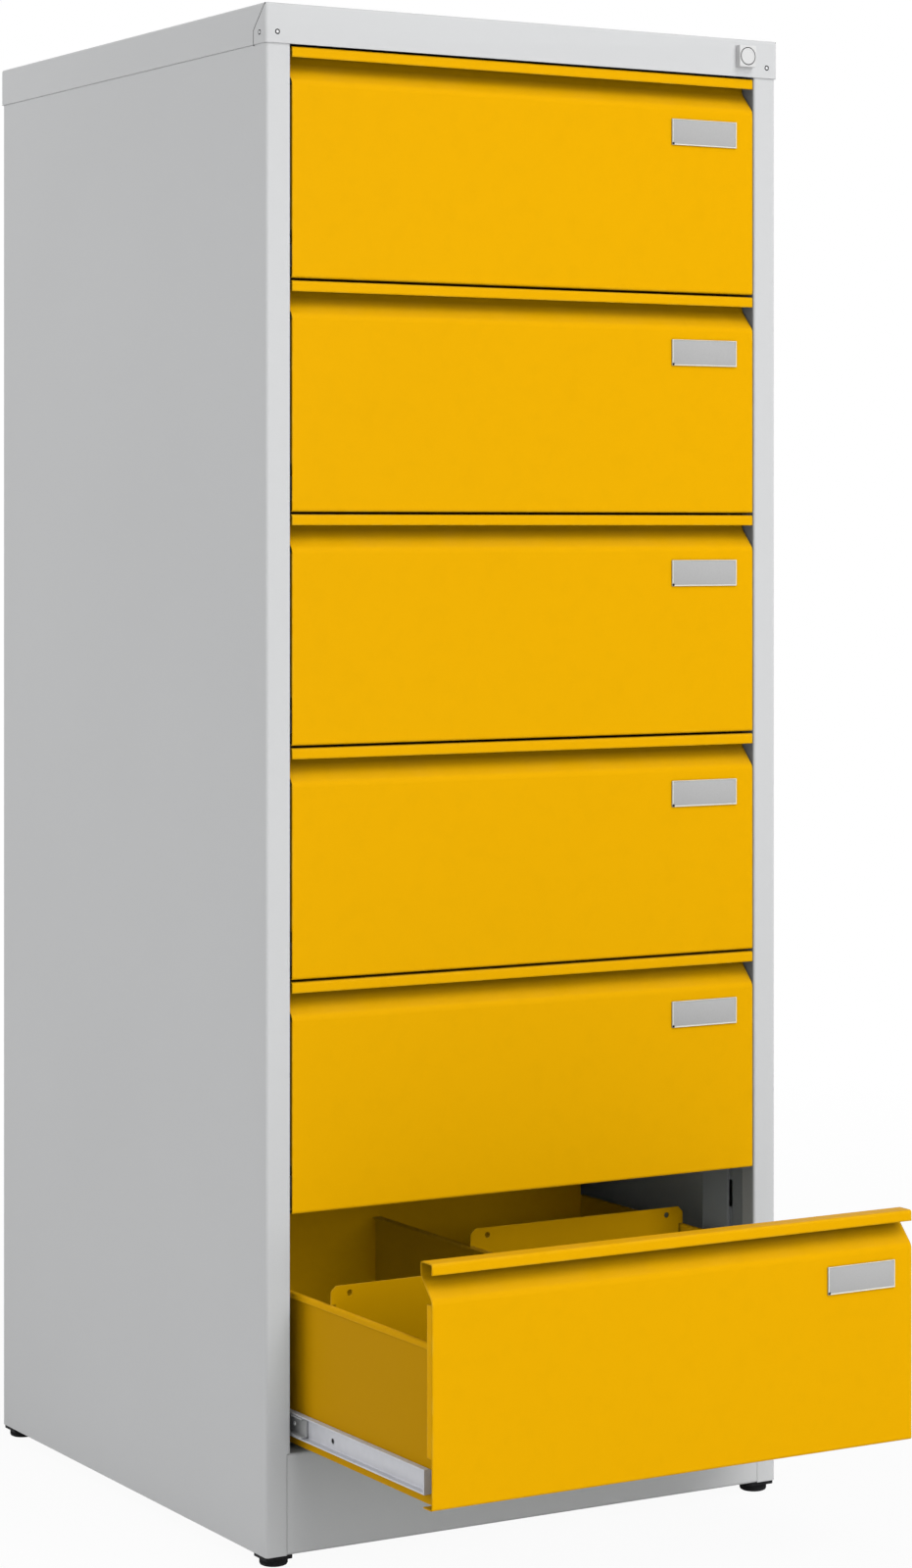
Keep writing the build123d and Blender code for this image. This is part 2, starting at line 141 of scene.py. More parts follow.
@contextmanager
def editing(piece: Piece, pick: Pick, test: Test | None = None) -> Iterator[None]:
    """Hold a piece in edit mode with some of its faces or edges selected.

    Args:
        piece: The object to edit.
        pick: Whether faces or edges are selected.
        test: Says whether one is taken, of its middle and its direction, which is a face's
            normal or an edge's unit run. Without it all are taken.
    """
    only(piece)
    bpy.ops.object.mode_set(mode="EDIT")
    bpy.ops.mesh.select_mode(type=pick.value)
    bpy.ops.mesh.select_all(action="DESELECT" if test else "SELECT")
    if test:
        mesh = bmesh.from_edit_mesh(piece.data)
        if pick is Pick.FACES:
            for face in mesh.faces:
                face.select_set(test(face.calc_center_median(), face.normal))
            mesh.select_flush_mode()
        else:
            for edge in mesh.edges:
                start, end = (point.co for point in edge.verts)
                edge.select_set(test((start + end) / 2, (end - start).normalized()))
        bmesh.update_edit_mesh(piece.data)
    yield
    bpy.ops.object.mode_set(mode="OBJECT")


def draw_out(*move: float) -> None:
    """Extrude the selected faces along a move."""
    bpy.ops.mesh.extrude_region_move(TRANSFORM_OT_translate={"value": move})


def add_block(low: Vector, high: Vector) -> Piece:
    """Add a box between two corners, with its place in its mesh.

    Args:
        low: The lowest corner.
        high: The highest corner.

    Returns:
        The new object.
    """
    bpy.ops.object.select_all(action="DESELECT")
    bpy.ops.mesh.primitive_cube_add(size=1, location=(low + high) / 2, scale=high - low)
    bpy.ops.object.transform_apply(location=True, rotation=True, scale=True)
    return bpy.context.object


def placing(seat: Vector, facing: Facing) -> Matrix:
    """The move that takes a part from the origin, facing up, to its seat."""
    turn = Vector(Facing.UP.value).rotation_difference(Vector(facing.value))
    return Matrix.Translation(seat) @ turn.to_matrix().to_4x4()


def add_turned(seat: Vector, facing: Facing, profile: Profile, sides: int) -> Piece:
    """Model a round part by drawing a disc out and resizing it at each step.

    Args:
        seat: Where the profile's zero height lies.
        facing: The way that the height grows.
        profile: Radius and height of each step, from the first ring to the last.
        sides: How many sides the round part has.

    Returns:
        The new object, closed at both ends.
    """
    bpy.ops.object.select_all(action="DESELECT")
    radius, height = profile[0]
    bpy.ops.mesh.primitive_circle_add(
        vertices=sides, radius=radius, fill_type="NGON", location=(0, 0, height)
    )
    part = bpy.context.object
    bpy.ops.object.transform_apply(location=True, rotation=True, scale=True)
    with editing(part, Pick.FACES):
        for next_radius, next_height in profile[1:]:
            draw_out(0, 0, next_height - height)
            ratio = next_radius / radius
            bpy.ops.transform.resize(
                value=(ratio, ratio, 1), center_override=(0, 0, next_height)
            )
            radius, height = next_radius, next_height
        bpy.ops.mesh.select_all(action="SELECT")
        bpy.ops.mesh.normals_make_consistent(inside=False)
    part.data.transform(placing(seat, facing))
    return part


def round_edges(piece: Piece, test: Test, width: float, segments: int) -> None:
    """Round some of a piece's edges in edit mode.

    Args:
        piece: The object to round.
        test: Which edges are rounded, by their middle and run.
        width: How wide the rounding is.
        segments: How many steps it has.
    """
    with editing(piece, Pick.EDGES, test):
        bpy.ops.mesh.bevel(offset=width, segments=segments, affect="EDGES")


def apply_modifier(piece: Piece, kind: str, **settings: object) -> None:
    """Add a modifier, set it and apply it.

    Args:
        piece: The object to change.
        kind: Blender's name for the modifier's type.
        **settings: The modifier's settings by name.
    """
    only(piece)
    modifier = piece.modifiers.new(kind.title(), kind)
    for setting, value in settings.items():
        setattr(modifier, setting, value)
    bpy.ops.object.modifier_apply(modifier=modifier.name)


def soften(piece: Piece, width: float) -> None:
    """Take the sharpness off all of a piece's edges."""
    apply_modifier(piece, "BEVEL", width=width, segments=2, limit_method="ANGLE")


def cut_out(piece: Piece, cutter: Piece) -> None:
    """Cut one shape out of another and remove the cutter."""
    apply_modifier(piece, "BOOLEAN", operation="DIFFERENCE", object=cutter, solver="EXACT")
    bpy.data.objects.remove(cutter)


def join(parts: Sequence[Piece]) -> Piece:
    """Join objects to one.

    Args:
        parts: The objects to join.

    Returns:
        The joined object.
    """
    only(parts[0])
    for part in parts[1:]:
        part.select_set(True)
    bpy.ops.object.join()
    return bpy.context.object


def copy_of(piece: Piece, move: Matrix) -> Piece:
    """Copy a piece with its own mesh.

    Args:
        piece: The object to copy.
        move: Where the copy's mesh goes.

    Returns:
        The copy.
    """
    twin = piece.copy()
    twin.data = piece.data.copy()
    twin.data.transform(move)
    if move.determinant() < 0:
        twin.data.flip_normals()
    bpy.context.scene.collection.objects.link(twin)
    return twin


def spread(model: Piece, moves: Sequence[Matrix]) -> Piece:
    """Copy a part to several places as one piece and remove the part itself.

    Args:
        model: The part, modelled once.
        moves: Where each copy goes.

    Returns:
        The piece that holds every copy.
    """
    copies = [copy_of(model, move) for move in moves]
    bpy.data.objects.remove(model)
    return join(copies)


def corner_moves(middle: Vector) -> list[Matrix]:
    """Moves that mirror a front left part to all four corners round a middle.

    Args:
        middle: The point that the corners lie round.

    Returns:
        The moves to the left corners, then to the right ones, the front before the back.
    """
    there, back = Matrix.Translation(middle), Matrix.Translation(-middle)
    mirrors = ((x, y, 1, 1) for x in (1, -1) for y in (1, -1))
    return [there @ Matrix.Diagonal(mirror) @ back for mirror in mirrors]


def smooth(piece: Piece, degrees: float) -> Piece:
    """Shade a piece smooth, except over sharp edges.

    Args:
        piece: The object to shade.
        degrees: The least angle of an edge that stays sharp.

    Returns:
        The same object.
    """
    only(piece)
    bpy.ops.object.shade_smooth_by_angle(angle=math.radians(degrees))
    return piece


class Wiring:
    """Adds nodes to one tree and joins them."""

    def __init__(self, tree: bpy.types.NodeTree) -> None:
        """Start with an empty tree."""
        self.tree = tree
        tree.nodes.clear()

    def node(
        self, kind: str, inputs: dict[int | str, object] | None = None, **settings: object
    ) -> Node:
        """Add a node.

        Args:
            kind: The node's type without its ShaderNode prefix.
            inputs: What each of its inputs gets, a socket or a plain value, by place or name.
            **settings: The node's settings by name.

        Returns:
            The new node.
        """
        prefix = "" if kind.startswith("Node") else "ShaderNode"
        made = self.tree.nodes.new(prefix + kind)
        made.location = (200 * len(self.tree.nodes), 0)
        for setting, value in settings.items():
            setattr(made, setting, value)
        for place, source in (inputs or {}).items():
            if isinstance(source, Socket):
                self.tree.links.new(source, made.inputs[place])
            else:
                made.inputs[place].default_value = source
        return made

    def math(self, operation: str, first: Input, second: Input = 0.0) -> Socket:
        """Work out one value from two."""
        return self.node("Math", {0: first, 1: second}, operation=operation).outputs[0]

    def times(self, first: Input, second: Input) -> Socket:
        """Multiply two values."""
        return self.math("MULTIPLY", first, second)

    def span(self, value: Input, given: Range, result: Range) -> Socket:
        """Map a value from one range to another, held within it."""
        places = dict(enumerate((value, *given, *result)))
        return self.node("MapRange", places, clamp=True).outputs[0]

    def swing(self, value: Input, given: Range, middle: float, swing: float) -> Socket:
        """Map a value's range to an equal swing below and above a middle."""
        return self.span(value, given, (middle - swing, middle + swing))

    def noise(self, place: Socket, scale: Input, detail: float) -> Socket:
        """Noise from 0 to 1, by its patches to the metre and its number of finer layers."""
        inputs = {"Vector": place, "Scale": scale, "Detail": detail}
        return self.node("TexNoise", inputs).outputs["Fac"]

    def mix(self, share: Input, first: object, second: object) -> Socket:
        """Mix two colours, by the share of the second."""
        inputs = {0: share, 6: first, 7: second}
        return self.node("Mix", inputs, data_type="RGBA").outputs[2]

    def place(self) -> Socket:
        """Where on the object a spot lies."""
        return self.node("TexCoord").outputs["Object"]

    def axes(self, vector: Socket) -> bpy.types.NodeOutputs:
        """A vector's X, Y and Z."""
        return self.node("SeparateXYZ", {0: vector}).outputs

    def bump(self, strength: float, depth: float, height: Socket, **normal: Socket) -> Socket:
        """The normal over bumps of a height map, laid over another normal where it is given."""
        inputs = {"Strength": strength, "Distance": depth, "Height": height}
        return self.node("Bump", inputs | normal).outputs[0]


class Effect(Enum):
    """The shared effects, each with its own input's name and its outputs' names."""

    PAINT_SKIN = ("Grain", "Height", "Fleck")
    EDGES = ("Radius", "Mask", "Normal")
    DUST = ("Amount", "Mask")
    DRIFT = ("Amount", "Tone")
    ROLLED = ("Lines", "Height", "Mottle")
    CAVITY = ("Reach", "Open")


class EffectGroup(Wiring):
    """One shared effect as a node group, with the input Place and one value of its own.

    Each method makes one effect and gives its outputs in the order that Effect names them.
    """

    FINER_GRAIN = 4.3
    FINE_SHARE = 0.25
    BENT_COSINES = (0.995, 0.88)
    EDGE_CLOUD = (0.42, 0.62)
    LEAST_EDGE = 0.15
    LEVEL_ENOUGH = 0.5
    DUST_CLOUD = (0.35, 0.7)
    LEAST_DUST = 0.25
    LINE_STRETCH = (1.0, 0.02, 1.0)
    FOLD_OPENNESS = (0.35, 0.97)
    FOLD_CLOUD = 0.03

    def __init__(self, effect: Effect) -> None:
        """Make the group's sockets and the nodes between them.

        Args:
            effect: The effect that it gives.
        """
        super().__init__(bpy.data.node_groups.new(effect.name.lower(), "ShaderNodeTree"))
        own, *results = effect.value
        for name in ("Place", own, *results):
            kind = "NodeSocketVector" if name in ("Place", "Normal") else "NodeSocketFloat"
            in_out = "OUTPUT" if name in results else "INPUT"
            self.tree.interface.new_socket(name, in_out=in_out, socket_type=kind)
        given = self.node("NodeGroupInput").outputs
        self.spot, self.own = given["Place"], given[own]
        sockets = getattr(self, effect.name.lower())()
        self.node("NodeGroupOutput", dict(zip(results, sockets)))
        log.info("effect %s", self.tree.name)

    def paint_skin(self) -> tuple[Socket, ...]:
        """Orange peel of baked powder paint, its grain in patches to the metre.

        Returns:
            Its height and a fine fleck.
        """
        swell = self.noise(self.spot, self.own, detail=1.5)
        fine = self.noise(self.spot, self.times(self.own, self.FINER_GRAIN), detail=2.0)
        return self.math("ADD", swell, self.times(fine, self.FINE_SHARE)), fine

    def edges(self) -> tuple[Socket, ...]:
        """Rounding along a part's edges, with a patchy mask for edges that are painted lighter,
        partly as highlight and partly as wear.

        Returns:
            A patchy mask of the edges and the rounded normal.
        """
        rounded = self.node("Bevel", {"Radius": self.own}, samples=4).outputs["Normal"]
        flat = self.node("NewGeometry").outputs["Normal"]
        turned = self.node("VectorMath", {0: rounded, 1: flat}, operation="DOT_PRODUCT")
        bent = self.span(turned.outputs["Value"], self.BENT_COSINES, (0.0, 1.0))
        cloud = self.noise(self.spot, scale=90.0, detail=3.0)
        patches = self.span(cloud, self.EDGE_CLOUD, (self.LEAST_EDGE, 1.0))
        return self.times(bent, patches), rounded

    def dust(self) -> tuple[Socket, ...]:
        """Thin dust that settles on what faces up.

        Returns:
            The dust's mask.
        """
        upward = self.axes(self.node("NewGeometry").outputs["Normal"])["Z"]
        level = self.span(upward, (self.LEVEL_ENOUGH, 1.0), (0.0, 1.0))
        cloud = self.noise(self.spot, scale=34.0, detail=5.0)
        patches = self.span(cloud, self.DUST_CLOUD, (self.LEAST_DUST, 1.0))
        return (self.times(self.times(level, patches), self.own),)

    def drift(self) -> tuple[Socket, ...]:
        """Slow change of tone over a large sheet.

        Returns:
            A tone round 1.
        """
        broad = self.noise(self.spot, scale=3.1, detail=2.0)
        swing = self.times(self.math("SUBTRACT", broad, NOISE_MIDDLE), self.own)
        return (self.math("ADD", swing, 1.0),)

    def rolled(self) -> tuple[Socket, ...]:
        """Fine lines that rolling leaves along the length of steel strip.

        Returns:
            The lines' height and the plating's mottle.
        """
        stretched = self.node("Mapping", {"Vector": self.spot, "Scale": self.LINE_STRETCH})
        height = self.noise(stretched.outputs["Vector"], self.own, detail=2.0)
        return height, self.noise(self.spot, scale=160.0, detail=4.0)

    def cavity(self) -> tuple[Socket, ...]:
        """How open a spot is, for painted shade that darkens folds, seams and recesses.

        Returns:
            0 deep in a fold and 1 in the open.
        """
        around = self.node("AmbientOcclusion", {"Distance": self.own}, samples=8)
        clear = self.span(around.outputs["AO"], self.FOLD_OPENNESS, (0.0, 1.0))
        cloud = self.noise(self.spot, scale=60.0, detail=2.0)
        uneven = self.swing(cloud, NOISE_RANGE, 0.0, self.FOLD_CLOUD)
        return (self.math("ADD", clear, uneven),)


@dataclass(frozen=True)
class Colour:
    """A colour as it looks on screen, each part from 0 to 255."""

    red: int
    green: int
    blue: int

    def linear(self) -> tuple[float, float, float, float]:
        """The colour in the linear values that shaders take, by the sRGB curve.

        Returns:
            Red, green, blue and a full alpha.
        """
        parts = (self.red / 255, self.green / 255, self.blue / 255)
        bent = [x / 12.92 if x <= 0.04045 else ((x + 0.055) / 1.055) ** 2.4 for x in parts]
        return (bent[0], bent[1], bent[2], 1.0)


DUST_COLOUR = Colour(196, 190, 180)


@dataclass(frozen=True)
class Finish:
    """What every finish shares: a name, a colour and how rough it is."""

    name: str
    colour: Colour
    roughness: float
    edge_radius: float = 0.7 * MM
    edge_colour: Colour = Colour(255, 255, 255)
    edge_share: float = 0.25
    dust_amount: float = 0.08
    specular_level: float = 0.06

    def material(self) -> bpy.types.Material:
        """The finish as a material, built on its first use.

        Returns:
            The material.
        """
        made = bpy.data.materials.get(self.name)
        if made is None:
            made = bpy.data.materials.new(self.name)
            made.use_nodes = True
            wiring = Wiring(made.node_tree)
            inputs = {"Specular IOR Level": self.specular_level} | self.wire(wiring)
            shader = wiring.node("BsdfPrincipled", inputs)
            wiring.node("OutputMaterial", {"Surface": shader.outputs[0]})
        return made

    def wire(self, wiring: Wiring) -> dict[str, Input]:
        """What the shader's inputs get by name. Each kind of finish has its own way."""
        raise NotImplementedError

    def effect(self, wiring: Wiring, effect: Effect, own: float) -> bpy.types.NodeOutputs:
        """Place a shared effect in the material.

        Args:
            wiring: The material's wiring.
            effect: Which effect.
            own: What its own input gets.

        Returns:
            The effect's outputs.
        """
        inputs = {"Place": wiring.place(), effect.value[0]: own}
        group = bpy.data.node_groups[effect.name.lower()]
        return wiring.node("Group", inputs, node_tree=group).outputs

    def toned(self, wiring: Wiring, tone: Input) -> Socket:
        """The finish's colour, lightened or darkened by a tone round 1."""
        inputs = {0: self.colour.linear()[:3], "Scale": tone}
        return wiring.node("VectorMath", inputs, operation="SCALE").outputs[0]

    def weathered(self, wiring: Wiring, tone: Input) -> tuple[Socket, Socket, Socket]:
        """Lay edges painted lighter, partly as highlight and partly as wear, and dust over the
        toned colour.

        Args:
            wiring: The material's wiring.
            tone: How light the clean colour is, round 1.

        Returns:
            The colour, the edges' rounded normal and the dust's mask.
        """
        edge = self.effect(wiring, Effect.EDGES, self.edge_radius)
        # Painted highlight, patchy like wear: edges and bends are mixed toward the edge colour.
        edge_wear_and_highlight = wiring.times(edge["Mask"], self.edge_share)
        colour = wiring.mix(edge_wear_and_highlight, self.toned(wiring, tone), self.edge_colour.linear())
        settled = self.effect(wiring, Effect.DUST, self.dust_amount)["Mask"]
        return wiring.mix(settled, colour, DUST_COLOUR.linear()), edge["Normal"], settled


@dataclass(frozen=True)
class WallShade:
    """Painted shade on a sheet's walls, by distance from the cabinet's middle plane, lifted again
    past a rim where one is given.
    """

    full_at: float
    thin_at: float
    tone: float
    rim_at: float = 1.0
    rim_gain: float = 0.0
    rim_blend: float = 1.0 * MM

    def toned(self, wiring: Wiring) -> Socket:
        """The painted shade's tone: 1 where unshaded, less where shaded, and more again past the
        rim.

        Args:
            wiring: The material's wiring.

        Returns:
            The tone's socket.
        """
        out = wiring.math("ABSOLUTE", wiring.axes(wiring.place())["X"])
        wall = wiring.span(out, (self.full_at, self.thin_at), (1.0, self.tone))
        rim_range = (self.rim_at, self.rim_at + self.rim_blend)
        return wiring.math("ADD", wall, wiring.span(out, rim_range, (0.0, self.rim_gain)))


@dataclass(frozen=True)
class PowderPaint(Finish):
    """Baked powder paint on sheet steel."""

    grain: float = 640.0
    peel: float = 0.05
    peel_depth: float = 0.4 * MM
    tone_swing: float = 0.05
    fleck_swing: float = 0.015
    gloss_swing: float = 0.03
    # Painted light and shade: the colour that light bouncing off the sheet takes instead of the
    # paint.
    bounce: Colour | None = None
    # Painted shade on walls, by distance from the middle plane.
    coat: WallShade | None = None
    # Painted shade in folds: how far the occlusion looks, and how dark the deepest fold gets.
    fold_reach: float = 0.0
    fold_tone: float = 1.0

    def wire(self, wiring: Wiring) -> dict[str, Input]:
        """Peel, flecks and slow drift under a satin skin, with painted shade on walls and in
        folds, painted edge highlights, and a bounce colour where given.

        Args:
            wiring: The material's wiring.

        Returns:
            What the shader's inputs get.
        """
        skin = self.effect(wiring, Effect.PAINT_SKIN, self.grain)
        drift = self.effect(wiring, Effect.DRIFT, self.tone_swing)["Tone"]
        fleck = wiring.swing(skin["Fleck"], NOISE_RANGE, 1.0, self.fleck_swing)
        tone = wiring.times(drift, fleck)
        # Painted shade on the walls.
        if self.coat:
            tone = wiring.times(tone, self.coat.toned(wiring))
        # Painted shade in folds, seams and recesses, found by ambient occlusion.
        if self.fold_reach:
            clear = self.effect(wiring, Effect.CAVITY, self.fold_reach)["Open"]
            tone = wiring.times(tone, wiring.span(clear, (0.0, 1.0), (self.fold_tone, 1.0)))
        colour, rounded, settled = self.weathered(wiring, tone)
        # Painted light and shade: diffuse bounces see the bounce colour, which dims or pales the
        # light thrown on nearby parts.
        if self.bounce:
            bounced = wiring.node("LightPath").outputs["Is Diffuse Ray"]
            colour = wiring.mix(bounced, colour, self.bounce.linear())
        rough = wiring.swing(skin["Height"], PEEL_RANGE, self.roughness, self.gloss_swing)
        return {
            "Base Color": colour,
            "Roughness": wiring.math("ADD", rough, settled),
            "Normal": wiring.bump(self.peel, self.peel_depth, skin["Height"], Normal=rounded),
        }


@dataclass(frozen=True)
class PlatedSteel(Finish):
    """Zinc-plated or bare rolled steel."""

    metallic: float = 0.85
    lines: float = 2600.0
    line_strength: float = 0.12
    line_depth: float = 0.1 * MM
    tone_swing: float = 0.03
    gloss_swing: float = 0.06

    def wire(self, wiring: Wiring) -> dict[str, Input]:
        """Rolling lines and plating mottle over metal.

        Args:
            wiring: The material's wiring.

        Returns:
            What the shader's inputs get.
        """
        strip = self.effect(wiring, Effect.ROLLED, self.lines)
        mottle, height = strip["Mottle"], strip["Height"]
        tone = wiring.swing(mottle, NOISE_RANGE, 1.0, self.tone_swing)
        colour, rounded, settled = self.weathered(wiring, tone)
        clean = wiring.math("SUBTRACT", 1.0, settled)
        return {
            "Base Color": colour,
            "Metallic": wiring.times(clean, self.metallic),
            "Roughness": wiring.swing(mottle, NOISE_RANGE, self.roughness, self.gloss_swing),
            "Normal": wiring.bump(self.line_strength, self.line_depth, height, Normal=rounded),
        }


@dataclass(frozen=True)
class MouldedPlastic(PowderPaint):
    """Spark-textured moulded plastic, built up like paint with a coarser, even skin."""

    grain: float = 1500.0
    peel: float = 0.35
    peel_depth: float = 0.15 * MM
    tone_swing: float = 0.0
    fleck_swing: float = 0.2
    gloss_swing: float = 0.0


@dataclass(frozen=True)
class BlankCard(Finish):
    """Matt card without any print."""

    fibre: float = 900.0
    fibre_strength: float = 0.2
    fibre_depth: float = 0.05 * MM
    tone_swing: float = 0.03

    def wire(self, wiring: Wiring) -> dict[str, Input]:
        """Paper fibre in tone and in height.

        Args:
            wiring: The material's wiring.

        Returns:
            What the shader's inputs get.
        """
        skin = self.effect(wiring, Effect.PAINT_SKIN, self.fibre)
        tone = wiring.swing(skin["Height"], PEEL_RANGE, 1.0, self.tone_swing)
        return {
            "Base Color": self.toned(wiring, tone),
            "Roughness": self.roughness,
            "Normal": wiring.bump(self.fibre_strength, self.fibre_depth, skin["Fleck"]),
        }


CABINET_GREY = PowderPaint("cabinet_grey_paint", Colour(214, 215, 216), 0.42)
# Painted shade: the side panels' inner parts, seen in the gaps and recesses beside the drawers,
# are darkened.
PANEL_GREY = replace(
    CABINET_GREY, name="side_panel_paint", coat=WallShade(231.6 * MM, 231.1 * MM, tone=0.66)
)
# Painted shade on the trays' outer side walls, lifted on the rims; painted highlights along edges;
# a near-white bounce colour pales the light thrown inside.
TRAY_YELLOW = PowderPaint(
    "tray_yellow_paint", Colour(241, 178, 0), 0.44, edge_radius=1.4 * MM,
    edge_colour=Colour(255, 208, 58), edge_share=0.8, bounce=Colour(229, 230, 223),
    specular_level=0.02, dust_amount=0.03,
    coat=WallShade(221.3 * MM, 221.7 * MM, tone=0.71, rim_at=222.5 * MM, rim_gain=0.17),
)
# Painted shade in the fronts' folds and under the lips; painted highlights along the bends; a dark
# bounce colour dims the light thrown into the recesses.
DRAWER_YELLOW = replace(
    TRAY_YELLOW, name="drawer_yellow_paint", roughness=0.40, edge_radius=2.4 * MM,
    bounce=Colour(92, 88, 78), coat=None, fold_reach=26 * MM, fold_tone=0.52,
)
# Painted shade: followers and dividers take a darker copy of the drawers' yellow, with painted
# highlights on their edges.
SHADED_FOLLOWER_YELLOW = replace(
    TRAY_YELLOW, name="follower_yellow_painted_shade", colour=Colour(214, 158, 0),
    edge_radius=0.6 * MM, edge_colour=Colour(255, 224, 110), edge_share=0.5, coat=None,
)
# Painted shade: the uprights take a darker grey than the cabinet paint they likely share, with
# strong painted highlights on their folds.
SHADED_INNER_GREY = PowderPaint(
    "inner_grey_painted_shade", Colour(150, 153, 158), 0.5, edge_radius=1.2 * MM, edge_share=0.55
)
LOCK_GREY = PowderPaint(
    "lock_grey_paint", Colour(224, 224, 224), 0.36, edge_radius=0.25 * MM, edge_share=0.1,
    grain=1100.0,
)
LABEL_CREAM = PowderPaint("label_frame_paint", Colour(238, 236, 224), 0.4, grain=1100.0)
# Strong painted highlight lines along the slides' edges and flanges.
ZINC = PlatedSteel(
    "zinc_plate", Colour(209, 210, 215), 0.42, metallic=0.3, edge_share=0.8, specular_level=0.3
)
DULL_ZINC = PlatedSteel(
    "dull_zinc_plate", Colour(184, 185, 185), 0.5, metallic=0.3, edge_share=0.0
)
# Painted highlight: the middle slides' rivets are near white so that they shine even in shade.
GLINT_RIVET = PlatedSteel("rivet_painted_glint", Colour(250, 250, 250), 0.4, metallic=0.1)
RIVET_STEEL = PlatedSteel(
    "rivet_steel", Colour(226, 227, 228), 0.4, edge_radius=0.2 * MM, metallic=0.2
)
DARK_STEEL = PlatedSteel(
    "blackened_steel", Colour(48, 48, 51), 0.55, metallic=0.4, edge_colour=Colour(120, 120, 124)
)
# Painted shadow: a dark finish for strips, rings and pins set in gaps, grooves and holes.
GAP_SHADOW = MouldedPlastic(
    "gap_shadow", Colour(38, 38, 40), 0.9, edge_share=0.0, dust_amount=0.0
)
FOOT_BLACK = MouldedPlastic(
    "foot_black_plastic", Colour(34, 34, 36), 0.55, edge_colour=Colour(92, 92, 92)
)
LABEL_CARD = BlankCard("blank_label_card", Colour(185, 185, 185), 0.8)


def dress(piece: Piece, finish: Finish) -> None:
    """Give a piece one finish all over."""
    piece.data.materials.clear()
    piece.data.materials.append(finish.material())


def fit(
    piece: Piece, name: str, body: str, finish: Finish, slot: Slot, *replaced: str
) -> None:
    """Name and dress a finished piece, let it ride on its body and report it.

    Args:
        piece: The new piece.
        name: Its name.
        body: The body that it moves with.
        finish: Its finish.
        slot: Not used.
        *replaced: The CAD nodes that it stands for.
    """
    piece.name = piece.data.name = name
    dress(piece, finish)
    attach(piece, body)
    if replaced:
        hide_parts(*replaced)
    log.info("%s: %d faces", name, len(piece.data.polygons))


def fit_to_drawers(
    model: Piece, name: str, node: str, body: str, finish: Finish, slot: Slot,
    stands_in: bool = False,
) -> None:
    """Copy the top drawer's part to every drawer and remove the part itself.

    Args:
        model: The part, modelled once.
        name: The end of each copy's name.
        node: The end of the name of the CAD node that it sits on.
        body: The start of the name of the body that it moves with.
        finish: Its finish.
        slot: Passed on to fit, which does not use it.
        stands_in: Whether it stands for that CAD node.
    """
    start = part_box(f"drawer_1_{node}")[0]
    for number in DRAWERS:
        home = f"drawer_{number}_{node}"
        piece = copy_of(model, Matrix.Translation(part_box(home)[0] - start))
        replaced = [home] if stands_in else []
        fit(piece, f"drawer_{number}_{name}", f"{body}_{number}", finish, slot, *replaced)
    bpy.data.objects.remove(model)


@dataclass
class Carcass:
    """The panels, base and inner steel, which keep their solids."""

    nodes: dict[str, Piece]

    def build(self) -> None:
        """Paint the sheets outside and the uprights inside, and plate the rest."""
        finishes = {
            "side_panel_right": PANEL_GREY, "side_panel_left": PANEL_GREY,
            "back_panel": CABINET_GREY, "base_pan": CABINET_GREY, "uprights": SHADED_INNER_GREY,
            "lock_bar": ZINC, "cabinet_slides": DULL_ZINC, "lock_barrel": LOCK_GREY,
        }
        for name, finish in finishes.items():
            dress(self.nodes[name], finish)
        log.info("carcass dressed")


